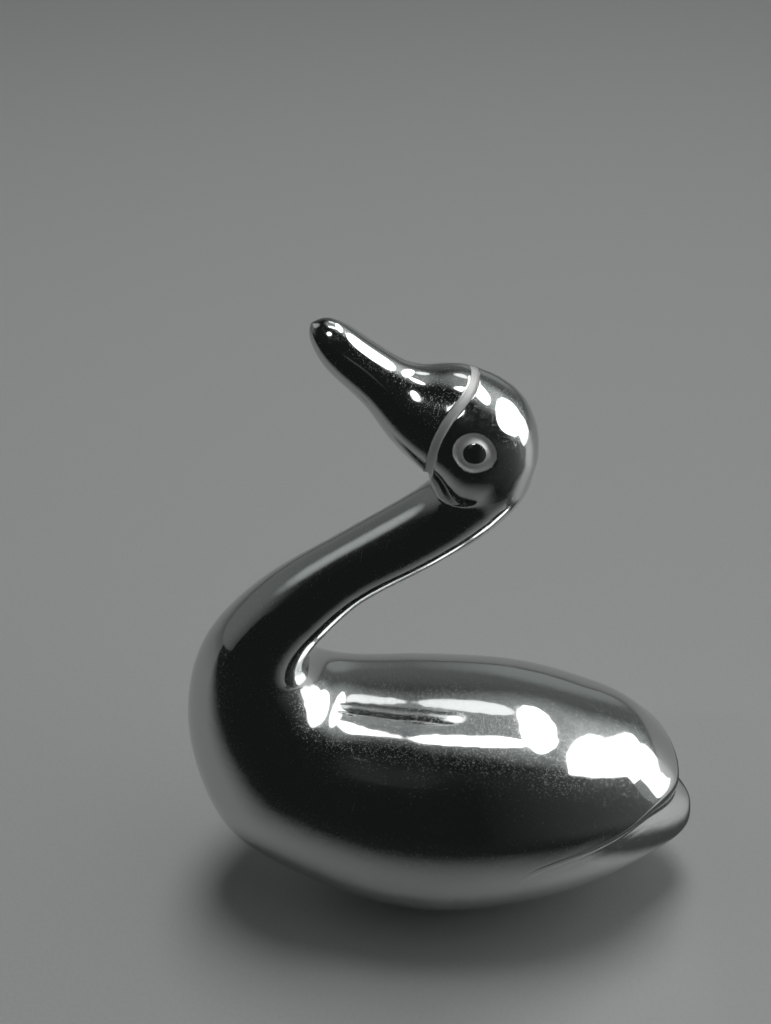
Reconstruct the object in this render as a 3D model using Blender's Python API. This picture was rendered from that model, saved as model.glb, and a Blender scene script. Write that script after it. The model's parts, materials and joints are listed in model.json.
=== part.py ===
"""A polished metal swan, cast in one piece and standing on its belly.

The bird faces -X and its mirror plane is y = 0. The middle of its outline is over the origin,
and the ground is z = 0. Its form is written in shares of its height.
"""

import math

import bmesh
import bpy
import numpy as np
from mathutils import Vector

# Driving sizes, in metres
HEIGHT = 0.092
CREASE_WIDTH = 0.00100
CREASE_DEPTH = 0.00032
EYE_RING_DIAMETER = 0.0046
EYE_RING_WIDTH = 0.00105
EYE_RING_DEPTH = 0.00036

# The tables below are in units of which the bird is this many tall
UNITS_TALL = 99.13
UNIT = HEIGHT / UNITS_TALL

# How finely the surface is divided
COLUMNS = 40
BODY_RING_GAP = 1.8
HEAD_COLUMNS = 28
HEAD_RINGS = 26
TUBE_SIDES = 8
CREASE_STEPS = 48
EYE_STEPS = 24
TABLE_STEPS = 900

# Colour of the polished metal
METAL_COLOUR = (0.66, 0.67, 0.68, 1.0)
METAL_ROUGHNESS = 0.08

# Upright sections of the body from the middle to its rear end:
# x, top z, bottom z, half width, how far the widest place is below the middle
BODY_SECTIONS = (
    (-10.0, 40.5, 0.6, 17.7, 0.0),
    (-2.0, 39.9, -0.6, 18.2, 0.0),
    (8.1, 39.1, 0.6, 17.8, 0.0),
    (15.7, 37.4, 2.5, 16.7, 0.0),
    (23.3, 34.6, 5.2, 14.5, 0.0),
    (29.4, 31.4, 8.7, 11.6, 0.0),
    (32.9, 27.6, 12.3, 8.3, 0.0),
    (34.3, 24.8, 14.8, 5.2, 0.0),
    (34.8, 21.8, 17.6, 0.6, 0.0),
)

# The same for the under body, which comes out past the wings as the tail
TAIL_SECTIONS = (
    (-10.0, 40.5, 0.6, 17.7, 0.0),
    (-2.0, 39.9, -0.6, 18.2, 0.0),
    (8.1, 39.1, 0.6, 17.8, 0.0),
    (15.7, 36.9, 2.4, 16.4, 0.0),
    (21.0, 34.4, 3.9, 14.5, 0.2),
    (25.0, 31.6, 5.6, 12.6, 0.6),
    (29.0, 27.6, 8.0, 10.1, 1.2),
    (33.0, 22.8, 10.7, 7.1, 1.8),
    (35.8, 18.8, 12.0, 4.5, 1.5),
    (37.3, 16.4, 12.4, 2.3, 0.6),
    (37.7, 14.2, 14.0, 0.1, 0.0),
)

# The wing's lower edge from the tail down the flank, where it fades into the belly:
# x, angle in degrees from straight up
WING_EDGE = (
    (34.7, 0.0),
    (34.4, 22.0),
    (32.9, 44.0),
    (30.8, 54.0),
    (28.9, 60.0),
    (27.2, 65.5),
    (25.5, 70.5),
    (23.5, 75.0),
    (21.3, 78.5),
    (19.0, 81.5),
    (16.3, 84.0),
    (13.4, 87.0),
    (10.6, 92.0),
    (8.4, 101.0),
    (6.9, 114.0),
    (6.0, 132.0),
    (5.5, 156.0),
    (5.5, 180.0),
)
EDGE_FADE_ENDS = 9.0
EDGE_FULL_FROM = 21.0

# Rings across the wing's edge: offset towards the tail where the edge is full and where it has faded
# out, and how far the ring is sunk from the wing's surface to the tail's
EDGE_PROFILE = ((-0.35, 0.35, 0.92), (0.12, 0.12, 0.5), (-0.2, -0.2, 0.1))
TAIL_RINGS_END = 0.75
WING_RINGS_START = -0.9
WING_LAST_X = 34.75

# The flank's radius, and the length that one radian of the edge's turn counts as in spacing columns
FLANK_RADIUS = 17.0
EDGE_TURN_WEIGHT = 14.0

# Rings from the tail's tip to the wing's edge: how many, and how late they spread and turn to follow
# the edge. And the number from the edge to the body's middle
TAIL_STEPS = 13
TAIL_SPREAD_POWER = 2.0
TAIL_TURN_POWER = 1.6
WING_STEPS = 6

# Slanting ribs of the front, from the body through the breast up into the head:
# upper x, z, lower x, z, half width, share of the rib above its widest place
FRONT_RIBS = (
    (-2.0, 39.9, -2.0, -0.6, 18.2, 0.50),
    (-7.0, 40.1, -10.0, 0.8, 17.7, 0.50),
    (-11.2, 40.4, -18.5, 3.9, 16.5, 0.50),
    (-14.6, 40.9, -27.0, 9.0, 15.2, 0.49),
    (-17.0, 41.9, -34.1, 15.9, 13.7, 0.47),
    (-18.6, 43.4, -37.1, 24.6, 11.5, 0.45),
    (-19.5, 45.0, -37.9, 33.0, 9.6, 0.45),
    (-19.9, 46.4, -36.9, 41.5, 8.1, 0.45),
    (-19.5, 48.2, -34.3, 48.9, 7.1, 0.46),
    (-18.3, 50.4, -30.2, 54.7, 6.4, 0.48),
    (-16.4, 52.9, -25.3, 59.6, 5.8, 0.50),
    (-11.6, 58.0, -17.7, 65.4, 4.8, 0.50),
    (-5.3, 62.4, -11.3, 69.9, 4.75, 0.50),
    (0.3, 66.4, -6.1, 73.7, 4.75, 0.50),
    (4.7, 70.5, -3.5, 76.4, 5.1, 0.46),
    (7.3, 74.3, -2.0, 79.0, 5.6, 0.42),
    (8.5, 77.6, -1.0, 80.6, 5.5, 0.42),
    (8.1, 80.6, -0.2, 82.0, 4.6, 0.44),
)

# The head from the bill's tip back: middle x, z, height above the middle, depth below, half width
HEAD_RIBS = (
    (-17.7, 98.7, 0.05, 0.05, 0.05),
    (-17.2, 98.2, 1.35, 1.20, 1.1),
    (-16.3, 97.3, 2.25, 2.00, 1.8),
    (-14.4, 95.2, 2.90, 2.80, 2.45),
    (-11.4, 92.2, 3.45, 3.10, 2.8),
    (-9.3, 90.3, 3.95, 3.50, 3.15),
    (-6.7, 88.0, 6.05, 4.60, 4.2),
    (-3.8, 86.0, 7.65, 5.85, 5.5),
    (-1.0, 84.5, 7.95, 7.20, 6.5),
    (1.6, 83.2, 7.75, 9.40, 6.9),
    (4.1, 81.9, 6.90, 10.2, 6.6),
    (6.0, 80.9, 5.40, 9.60, 5.9),
    (7.5, 80.1, 3.50, 7.10, 4.4),
    (8.2, 79.7, 0.05, 0.05, 0.05),
)

# The crease round the head, from the crown to under the chin: angle in degrees, place on the head's line
CREASE = (
    (0.0, 24.6),
    (30.0, 24.2),
    (58.0, 23.2),
    (80.0, 23.1),
    (104.0, 23.8),
    (142.0, 25.4),
    (180.0, 26.6),
)

# The middle of each ring eye
EYE_PLACE = 28.4
EYE_ANGLE = 79.0

# A small step of place, or of angle in radians, with which the head's directions are measured
HEAD_STEP = 0.05


def clear_scene():
    for thing in list(bpy.data.objects):
        bpy.data.objects.remove(thing, do_unlink=True)
    for mesh in list(bpy.data.meshes):
        bpy.data.meshes.remove(mesh)


def new_collection(name):
    collection = bpy.data.collections.new(name)
    bpy.context.scene.collection.children.link(collection)
    return collection


def smooth_curve(places, values, wanted):
    """A natural cubic spline through values at rising places, read at the wanted places."""
    places = np.asarray(places, float)
    values = np.asarray(values, float)
    wanted = np.asarray(wanted, float)
    count = len(places)
    gaps = np.diff(places)
    slopes = np.diff(values, axis=0) / gaps.reshape((-1,) + (1,) * (values.ndim - 1))
    matrix = np.eye(count)
    right = np.zeros_like(values)
    for row in range(1, count - 1):
        matrix[row, row - 1] = gaps[row - 1]
        matrix[row, row] = 2 * (gaps[row - 1] + gaps[row])
        matrix[row, row + 1] = gaps[row]
        right[row] = 6 * (slopes[row] - slopes[row - 1])
    bends = np.linalg.solve(matrix, right.reshape(count, -1)).reshape(values.shape)
    span = np.clip(np.searchsorted(places, wanted, side="right") - 1, 0, count - 2)
    shape = wanted.shape + (1,) * (values.ndim - 1)
    width = gaps[span].reshape(shape)
    after = (wanted - places[span]).reshape(shape)
    before = width - after
    return (
        (bends[span] * before**3 + bends[span + 1] * after**3) / (6 * width)
        + (values[span] / width - bends[span] * width / 6) * before
        + (values[span + 1] / width - bends[span + 1] * width / 6) * after
    )


def along(rows):
    """Distance along the rows of a table, from its first row."""
    rows = np.asarray(rows, float).reshape(len(rows), -1)
    steps = np.linalg.norm(np.diff(rows, axis=0), axis=1)
    return np.concatenate([[0.0], np.cumsum(steps)])


def dense(table, first_columns):
    """The table followed closely, so that a value can be read between its rows."""
    rows = np.array(table, float)
    places = along(rows[:, :first_columns])
    return smooth_curve(places, rows, np.linspace(0, places[-1], TABLE_STEPS))


def sections_at(table, x):
    """Top z, bottom z, half width and the widest place's drop at each x."""
    fine = dense(table, 4)
    return [np.interp(x, fine[:, 0], fine[:, column]) for column in range(1, 5)]


def upright_points(table, x, angle):
    """Points of the body's upright sections. The angle is from straight up, towards -Y."""
    top, bottom, half_width, drop = sections_at(table, x)
    middle = (top + bottom) / 2
    half_height = (top - bottom) / 2
    y = -half_width * np.sin(angle)
    z = middle + half_height * np.cos(angle) - drop * np.sin(angle) ** 2
    return np.stack([x, y, z], -1)


def half_angles(columns):
    """Places from 0 to 1 along half a ring, from its top to its bottom."""
    return np.linspace(0, 1, columns // 2 + 1)


def wing_edge_places(columns):
    """x and angle of the wing's edge for each column of the near half."""
    table = np.radians(np.array(WING_EDGE)) * [180 / math.pi, 1]
    spread = table * [1.0, EDGE_TURN_WEIGHT]
    places = along(spread)
    wanted = half_angles(columns) * places[-1]
    found = smooth_curve(places, table, wanted)
    found[:, 1] = np.clip(found[:, 1], 0, math.pi)
    found[0, 1] = 0
    found[-1, 1] = math.pi
    return found[:, 0], found[:, 1]


def beside_edge(x, angle, offset):
    """The edge's places moved by an offset square to it, to the tail's side when positive."""
    run = np.gradient(x)
    turn = np.gradient(angle) * FLANK_RADIUS
    length = np.hypot(run, turn)
    moved_x = x + offset * turn / length
    moved_angle = angle - offset * run / length / FLANK_RADIUS
    moved_angle[0] = 0
    moved_angle[-1] = math.pi
    return moved_x, moved_angle


def whole_ring(half):
    """The near half of a ring with its mirrored far half, each point once."""
    far = half[-2:0:-1] * [1, -1, 1]
    return np.concatenate([half, far])


def edge_fade(x):
    share = np.clip((x - EDGE_FADE_ENDS) / (EDGE_FULL_FROM - EDGE_FADE_ENDS), 0, 1)
    return share * share * (3 - 2 * share)


def step_ring(x, angle, offset, sunk):
    """A ring along the wing's edge, sunk from the wing's surface to the tail's by a share."""
    at_x, at_angle = beside_edge(x, angle, offset)
    wing = upright_points(BODY_SECTIONS, np.minimum(at_x, WING_LAST_X), at_angle)
    tail = upright_points(TAIL_SECTIONS, at_x, at_angle)
    return whole_ring(wing * (1 - sunk) + tail * sunk)


def tail_rings(columns):
    """Rings of the tail from its tip to the crevice under the wing's edge."""
    edge_x, edge_angle = wing_edge_places(columns)
    near_x, near_angle = beside_edge(edge_x, edge_angle, TAIL_RINGS_END)
    even = half_angles(columns) * math.pi
    rings = []
    for share in np.linspace(0, 1, TAIL_STEPS):
        spread = share**TAIL_SPREAD_POWER
        turn = share**TAIL_TURN_POWER
        x = TAIL_SECTIONS[-1][0] * (1 - spread) + near_x * spread
        angle = even * (1 - turn) + near_angle * turn
        rings.append(whole_ring(upright_points(TAIL_SECTIONS, x, angle)))
    return rings


def rib_ring(rib, columns):
    """A plane ring between an upper and a lower point, with its widest place between them."""
    upper = np.array([rib[0], 0, rib[1]])
    lower = np.array([rib[2], 0, rib[3]])
    half_width, share = rib[4:6]
    angle = half_angles(columns) * math.pi
    height = np.linalg.norm(upper - lower)
    up = (upper - lower) / height
    middle = upper - up * height * share
    rise = np.where(np.cos(angle) > 0, height * share, height * (1 - share)) * np.cos(angle)
    side = -half_width * np.sin(angle)
    points = middle + rise[:, None] * up
    points[:, 1] = side
    return whole_ring(points)


def wing_rings(columns):
    """Rings from the wing's edge forward to the upright middle of the body."""
    edge_x, edge_angle = wing_edge_places(columns)
    start_x, start_angle = beside_edge(edge_x, edge_angle, WING_RINGS_START)
    even = half_angles(columns) * math.pi
    middle_x = FRONT_RIBS[0][0]
    rings = []
    for share in np.arange(WING_STEPS) / WING_STEPS:
        x = start_x * (1 - share) + middle_x * share
        angle = start_angle * (1 - share) + even * share
        rings.append(whole_ring(upright_points(BODY_SECTIONS, np.minimum(x, WING_LAST_X), angle)))
    return rings


def between(rings, gap):
    """More rings between the given ones, on smooth curves, about a gap apart."""
    rings = np.array(rings)
    spread = np.linalg.norm(np.diff(rings, axis=0), axis=2).mean(axis=1)
    places = np.concatenate([[0.0], np.cumsum(spread)])
    wanted = np.linspace(0, places[-1], max(2, round(places[-1] / gap)) + 1)
    return list(smooth_curve(places, rings, wanted))


def body_rings(columns, gap):
    """All rings of the body and neck, from the tail's tip to the end inside the head."""
    edge_x, edge_angle = wing_edge_places(columns)
    fade = edge_fade(edge_x)
    rings = between(tail_rings(columns), gap)
    for full, faded, sunk in EDGE_PROFILE:
        rings.append(step_ring(edge_x, edge_angle, full * fade + faded * (1 - fade), sunk))
    front = [rib_ring(rib, columns) for rib in FRONT_RIBS]
    rings.extend(between(wing_rings(columns) + front, gap))
    return rings


def head_points(place, angle):
    """Points of the head at places along its middle line and angles round it, 0 on top, towards -Y."""
    rows = np.array(HEAD_RIBS)
    places = along(rows)
    x, z, above, below, half_width = np.moveaxis(smooth_curve(places, rows, place), -1, 0)
    ahead = smooth_curve(places, rows, place + HEAD_STEP)[..., :2]
    behind = smooth_curve(places, rows, place - HEAD_STEP)[..., :2]
    run = (ahead - behind) / np.linalg.norm(ahead - behind, axis=-1)[..., None]
    rise = np.cos(angle) * np.where(np.cos(angle) > 0, above, below)
    side = -np.sin(angle) * half_width
    return np.stack([x - run[..., 1] * rise, side, z + run[..., 0] * rise], -1)


def head_directions(place, angle):
    """How far a point of the head moves for one unit of place, and for one radian."""
    lengthwise = head_points(place + HEAD_STEP, angle) - head_points(place - HEAD_STEP, angle)
    across = head_points(place, angle + HEAD_STEP) - head_points(place, angle - HEAD_STEP)
    return lengthwise / (2 * HEAD_STEP), across / (2 * HEAD_STEP)


def head_outward(place, angle):
    """The direction square to the head's surface."""
    lengthwise, across = head_directions(place, angle)
    outward = np.cross(across, lengthwise)
    return outward / np.linalg.norm(outward, axis=-1)[..., None]


def head_rings(columns, count):
    """Rings of the head and bill, square to a line from the bill's tip to the head's back."""
    end = along(HEAD_RIBS)[-1]
    angle = np.arange(columns) * 2 * math.pi / columns
    shares = np.linspace(0, 1, count + 2)[1:-1]
    return [head_points(np.full(columns, share * end), angle) for share in shares]


def crease_path(steps):
    """Places and angles of the crease, once round the head."""
    angle = np.arange(steps) * 2 * math.pi / steps
    table = np.array(CREASE)
    place = smooth_curve(np.radians(table[:, 0]), table[:, 1], math.pi - np.abs(math.pi - angle))
    return place, angle


def eye_path(steps, radius, side):
    """Places and angles of a ring of the given radius on the head's surface."""
    place, angle = EYE_PLACE, math.radians(EYE_ANGLE)
    along_place, along_angle = np.linalg.norm(head_directions(np.array(place), np.array(angle)), axis=-1)
    turn = np.arange(steps) * 2 * math.pi / steps
    places = place + radius * np.cos(turn) / along_place
    angles = angle + radius * np.sin(turn) / along_angle
    return places, side * angles


def ring_tube(name, place, angle, width, depth, collection):
    """A closed tube along the head's surface that cuts a round-bottomed groove of a width and depth."""
    points = head_points(place, angle)
    outward = head_outward(place, angle)
    onward = np.roll(points, -1, axis=0) - np.roll(points, 1, axis=0)
    onward = onward / np.linalg.norm(onward, axis=1)[:, None]
    aside = np.cross(onward, outward)
    radius = (width**2 / 4 + depth**2) / (2 * depth)
    centres = points + outward * (radius - depth)
    bm = bmesh.new()
    loops = []
    for centre, out, across in zip(centres, outward, aside):
        made = bmesh.ops.create_circle(bm, cap_ends=False, radius=radius * UNIT, segments=TUBE_SIDES)
        for vert in made["verts"]:
            vert.co = Vector(centre * UNIT + out * vert.co.x + across * vert.co.y)
        loops.append(list({edge for vert in made["verts"] for edge in vert.link_edges}))
    for first, second in zip(loops, loops[1:] + loops[:1]):
        bmesh.ops.bridge_loops(bm, edges=first + second)
    bmesh.ops.recalc_face_normals(bm, faces=bm.faces)
    return object_from(bm, name, collection)


def lofted(name, rings, ends, collection):
    """A closed surface through the rings, with a point at each end."""
    bm = bmesh.new()
    loops = []
    for ring in rings:
        made = bmesh.ops.create_circle(bm, cap_ends=False, radius=1, segments=len(ring))
        for vert, point in zip(made["verts"], ring):
            vert.co = Vector(point * UNIT)
        edges = list({edge for vert in made["verts"] for edge in vert.link_edges})
        loops.append(edges)
    for first, second in zip(loops, loops[1:]):
        bmesh.ops.bridge_loops(bm, edges=first + second)
    for loop, end in zip((loops[0], loops[-1]), ends):
        cap = bmesh.ops.contextual_create(bm, geom=loop)["faces"]
        poked = bmesh.ops.poke(bm, faces=cap)
        poked["verts"][0].co = Vector(np.array(end) * UNIT)
    bmesh.ops.recalc_face_normals(bm, faces=bm.faces)
    for face in bm.faces:
        face.smooth = True
    return object_from(bm, name, collection)


def object_from(bm, name, collection):
    mesh = bpy.data.meshes.new(name)
    bm.to_mesh(mesh)
    bm.free()
    thing = bpy.data.objects.new(name, mesh)
    collection.objects.link(thing)
    return thing


def join_or_cut(thing, other, operation):
    modifier = thing.modifiers.new(f"{operation.title()} {other.name}", "BOOLEAN")
    modifier.operation = operation
    modifier.solver = "EXACT"
    modifier.object = other


def as_helper(thing):
    thing.hide_render = True
    thing.display_type = "WIRE"


def polished_metal():
    material = bpy.data.materials.new("polished metal")
    material.use_nodes = True
    shader = material.node_tree.nodes["Principled BSDF"]
    shader.inputs["Base Color"].default_value = METAL_COLOUR
    shader.inputs["Metallic"].default_value = 1.0
    shader.inputs["Roughness"].default_value = METAL_ROUGHNESS
    return material


def ground_cutter(collection):
    """A block whose top is the ground, with the belly's lowest part inside it."""
    bm = bmesh.new()
    bmesh.ops.create_cube(bm, size=1)
    bmesh.ops.scale(bm, verts=bm.verts, vec=Vector((HEIGHT, HEIGHT, HEIGHT / 4)))
    bmesh.ops.translate(bm, verts=bm.verts, vec=Vector((0, 0, -HEIGHT / 8)))
    return object_from(bm, "ground block", collection)


def groove_tubes(collection):
    """The tubes that cut the head's crease and its two ring eyes."""
    place, angle = crease_path(CREASE_STEPS)
    crease_size = CREASE_WIDTH / UNIT, CREASE_DEPTH / UNIT
    tubes = [ring_tube("crease tube", place, angle, *crease_size, collection)]
    ring_size = EYE_RING_WIDTH / UNIT, EYE_RING_DEPTH / UNIT
    radius = (EYE_RING_DIAMETER - EYE_RING_WIDTH) / 2 / UNIT
    for name, side in (("near eye tube", 1), ("far eye tube", -1)):
        place, angle = eye_path(EYE_STEPS, radius, side)
        tubes.append(ring_tube(name, place, angle, *ring_size, collection))
    return tubes


def main():
    clear_scene()
    swan_parts = new_collection("Swan figurine")
    helpers = new_collection("Helpers")
    tail_end = TAIL_SECTIONS[-1]
    neck_end = FRONT_RIBS[-1]
    body_ends = (
        (tail_end[0] + 0.05, 0, tail_end[1]),
        ((neck_end[0] + neck_end[2]) / 2, 0, (neck_end[1] + neck_end[3]) / 2 + 1),
    )
    body = lofted("swan", body_rings(COLUMNS, BODY_RING_GAP), body_ends, swan_parts)
    head_ends = [(rib[0], 0, rib[1]) for rib in (HEAD_RIBS[0], HEAD_RIBS[-1])]
    head = lofted("head", head_rings(HEAD_COLUMNS, HEAD_RINGS), head_ends, helpers)
    tubes = groove_tubes(helpers)
    block = ground_cutter(helpers)
    for tube in tubes:
        join_or_cut(head, tube, "DIFFERENCE")
    join_or_cut(body, head, "UNION")
    join_or_cut(body, block, "DIFFERENCE")
    for helper in (head, block, *tubes):
        as_helper(helper)
    helpers.hide_render = True
    body.data.materials.append(polished_metal())


main()
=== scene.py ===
"""A polished metal swan figurine, for Blender: its surface, its metal and a plain studio round it.

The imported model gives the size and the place. The form is written in units of which the bird is
UNITS_TALL high. It faces -X, its mirror plane is y = 0 and it stands on z = 0.
"""

import json
import math

import bmesh
import bpy
import numpy as np
from bpy.props import FloatProperty, FloatVectorProperty, IntProperty, PointerProperty
from mathutils import Euler, Matrix, Vector
from mathutils.bvhtree import BVHTree
from mathutils.kdtree import KDTree

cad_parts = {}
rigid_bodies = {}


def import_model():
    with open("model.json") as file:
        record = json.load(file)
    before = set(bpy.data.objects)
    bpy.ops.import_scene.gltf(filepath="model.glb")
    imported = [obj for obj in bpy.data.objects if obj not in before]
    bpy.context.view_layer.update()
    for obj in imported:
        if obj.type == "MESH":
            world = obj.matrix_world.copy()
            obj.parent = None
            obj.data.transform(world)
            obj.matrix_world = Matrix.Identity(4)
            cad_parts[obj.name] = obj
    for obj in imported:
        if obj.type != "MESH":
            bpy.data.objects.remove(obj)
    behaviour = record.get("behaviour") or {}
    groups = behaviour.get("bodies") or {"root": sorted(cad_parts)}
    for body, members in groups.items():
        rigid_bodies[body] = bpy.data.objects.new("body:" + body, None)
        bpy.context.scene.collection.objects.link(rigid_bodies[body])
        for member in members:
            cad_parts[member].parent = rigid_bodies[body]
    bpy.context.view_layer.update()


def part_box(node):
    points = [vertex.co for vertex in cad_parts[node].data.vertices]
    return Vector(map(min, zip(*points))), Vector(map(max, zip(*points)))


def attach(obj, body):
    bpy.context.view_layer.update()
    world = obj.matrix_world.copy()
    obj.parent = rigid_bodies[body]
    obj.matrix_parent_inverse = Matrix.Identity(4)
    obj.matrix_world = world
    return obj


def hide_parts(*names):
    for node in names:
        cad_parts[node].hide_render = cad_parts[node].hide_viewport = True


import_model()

bl_info = {
    "name": "Swan figurine",
    "version": (1, 0, 0),
    "blender": (4, 5, 0),
    "location": "3D View > Sidebar > Swan",
    "description": "Makes a polished metal swan figurine and a plain studio for it",
    "category": "Add Mesh",
}

NODE = "swan"

# The tables below are in units of which the bird is this many tall
UNITS_TALL = 99.13

# Upright sections of the body from the middle to its rear end:
# x, top z, bottom z, half width, how far the widest place is below the middle
BODY_SECTIONS = (
    (-10.0, 40.5, 0.6, 17.7, 0.0),
    (-2.0, 39.9, -0.6, 18.2, 0.0),
    (8.1, 39.1, 0.6, 17.8, 0.0),
    (15.7, 37.4, 2.5, 16.7, 0.0),
    (23.3, 34.6, 5.2, 14.5, 0.0),
    (29.4, 31.4, 8.7, 11.6, 0.0),
    (32.9, 27.6, 12.3, 8.3, 0.0),
    (34.3, 24.8, 14.8, 5.2, 0.0),
    (34.8, 21.8, 17.6, 0.6, 0.0),
)

# The same for the under body, which starts alike and comes out past the wings as the tail
TAIL_SECTIONS = BODY_SECTIONS[:3] + (
    (15.7, 36.9, 2.4, 16.4, 0.0),
    (21.0, 34.4, 3.9, 14.5, 0.2),
    (25.0, 31.6, 5.6, 12.6, 0.6),
    (29.0, 27.6, 8.0, 10.1, 1.2),
    (33.0, 22.8, 10.7, 7.1, 1.8),
    (35.8, 18.8, 12.0, 4.5, 1.5),
    (37.3, 16.4, 12.4, 2.3, 0.6),
    (37.7, 14.2, 14.0, 0.1, 0.0),
)

# The wing's lower edge from the tail down the flank, where it fades into the belly:
# x, angle in degrees from straight up
WING_EDGE = (
    (34.7, 0.0),
    (34.4, 22.0),
    (32.9, 44.0),
    (30.8, 54.0),
    (28.9, 60.0),
    (27.2, 65.5),
    (25.5, 70.5),
    (23.5, 75.0),
    (21.3, 78.5),
    (19.0, 81.5),
    (16.3, 84.0),
    (13.4, 87.0),
    (10.6, 92.0),
    (8.4, 101.0),
    (6.9, 114.0),
    (6.0, 132.0),
    (5.5, 156.0),
    (5.5, 180.0),
)
EDGE_FADE_ENDS = 9.0
EDGE_FULL_FROM = 21.0

# Slanting ribs of the front, from the body through the breast up into the head:
# upper x, z, lower x, z, half width, share of the rib above its widest place
FRONT_RIBS = (
    (-2.0, 39.9, -2.0, -0.6, 18.2, 0.50),
    (-7.0, 40.1, -10.0, 0.8, 17.7, 0.50),
    (-11.2, 40.4, -18.5, 3.9, 16.5, 0.50),
    (-14.6, 40.9, -27.0, 9.0, 15.2, 0.49),
    (-17.0, 41.9, -34.1, 15.9, 13.7, 0.47),
    (-18.6, 43.4, -37.1, 24.6, 11.5, 0.45),
    (-19.5, 45.0, -37.9, 33.0, 9.6, 0.45),
    (-19.9, 46.4, -36.9, 41.5, 8.1, 0.45),
    (-19.5, 48.2, -34.3, 48.9, 7.1, 0.46),
    (-18.3, 50.4, -30.2, 54.7, 6.4, 0.48),
    (-16.4, 52.9, -25.3, 59.6, 5.8, 0.50),
    (-11.6, 58.0, -17.7, 65.4, 4.8, 0.50),
    (-5.3, 62.4, -11.3, 69.9, 4.75, 0.50),
    (0.3, 66.4, -6.1, 73.7, 4.75, 0.50),
    (4.7, 70.5, -3.5, 76.4, 5.1, 0.46),
    (7.3, 74.3, -2.0, 79.0, 5.6, 0.42),
    (8.5, 77.6, -1.0, 80.6, 5.5, 0.42),
    (8.1, 80.6, -0.2, 82.0, 4.6, 0.44),
)

# The head from the bill's tip back: middle x, z, height above the middle, depth below, half width
HEAD_RIBS = (
    (-17.7, 98.7, 0.05, 0.05, 0.05),
    (-17.2, 98.2, 1.35, 1.20, 1.1),
    (-16.3, 97.3, 2.25, 2.00, 1.8),
    (-14.4, 95.2, 2.90, 2.80, 2.45),
    (-11.4, 92.2, 3.45, 3.10, 2.8),
    (-9.3, 90.3, 3.95, 3.50, 3.15),
    (-6.7, 88.0, 6.05, 4.60, 4.2),
    (-3.8, 86.0, 7.65, 5.85, 5.5),
    (-1.0, 84.5, 7.95, 7.20, 6.5),
    (1.6, 83.2, 7.75, 9.40, 6.9),
    (4.1, 81.9, 6.90, 10.2, 6.6),
    (6.0, 80.9, 5.40, 9.60, 5.9),
    (7.5, 80.1, 3.50, 7.10, 4.4),
    (8.2, 79.7, 0.05, 0.05, 0.05),
)

# The crease round the head, from the crown to under the chin: angle in degrees, place on the head's line
CREASE = (
    (0.0, 24.6),
    (30.0, 24.2),
    (58.0, 23.2),
    (80.0, 23.1),
    (104.0, 23.8),
    (142.0, 25.4),
    (180.0, 26.6),
)

# The middle of each ring eye
EYE_PLACE = 28.4
EYE_ANGLE = 79.0

# The profile across the wing's edge: offset towards the tail where the edge is full and where it has
# faded out, and how far the ring is sunk from the wing's surface to the tail's
EDGE_PROFILE = (
    (0.34, 0.58, 1.00),
    (0.00, 0.44, 1.00),
    (-0.26, 0.30, 0.95),
    (-0.14, 0.16, 0.74),
    (0.06, 0.04, 0.50),
    (0.09, -0.08, 0.32),
    (0.02, -0.20, 0.15),
    (-0.14, -0.32, 0.05),
    (-0.38, -0.48, 0.0),
    (-0.64, -0.68, 0.0),
)
TAIL_RINGS_END = 0.75
WING_RINGS_START = -0.9
WING_LAST_X = 34.75

# The flank's radius, and the length that one radian of the edge's turn counts as in spacing columns
FLANK_RADIUS = 17.0
EDGE_TURN_WEIGHT = 14.0

# Rings from the tail's tip to the wing's edge: how many, and how late they spread and turn to follow
# the edge. And the number from the edge to the body's middle
TAIL_STEPS = 13
TAIL_SPREAD_POWER = 2.0
TAIL_TURN_POWER = 1.6
WING_STEPS = 6

# How finely the tables are followed, the one of gaps too, and a small step of place, or of angle in
# radians, with which the head's directions are measured
TABLE_STEPS = 900
GRADING_STEPS = 4000
HEAD_STEP = 0.05

# How far apart the head's rings are: place, gap. And its columns, on one side: degrees, gap
HEAD_RING_GAPS = (
    (0.0, 0.12),
    (2.0, 0.35),
    (21.6, 0.40),
    (22.3, 0.11),
    (31.0, 0.11),
    (31.8, 0.36),
    (42.0, 0.36),
    (48.7, 0.2),
)
HEAD_COLUMN_GAPS = ((0.0, 2.4), (57.0, 2.4), (60.0, 0.9), (99.0, 0.9), (102.0, 2.4), (180.0, 2.4))

# How flat the bottom of the crease and of an eye's ring is, and where, as a share of its half width, a
# groove's satin ends and over what share it fades
CREASE_FLATNESS = 5
EYE_RING_FLATNESS = 2
SATIN_ENDS = 1.08
SATIN_FADES = 0.16

# How far the loft's end points stand past its last rings at the tail and inside the head
TAIL_END_OUT = 0.05
NECK_END_UP = 1.0

# In the same units, points nearer than this are one, and a surface point is the head's within this of
# it. Then the share of the reach within which a point is on a surface, and how often and how much the
# rounded joint is smoothed
WELD_GAP = 0.01
SAME_POINT = 0.02
ON_SURFACE = 0.01
SMOOTHINGS = 4
SMOOTHING_SHARE = 0.5

# Between these places along the bird, the joint of head and neck goes from a fold to a soft hollow
FOLD_ENDS = 1.0
HOLLOW_STARTS = 6.0


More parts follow.
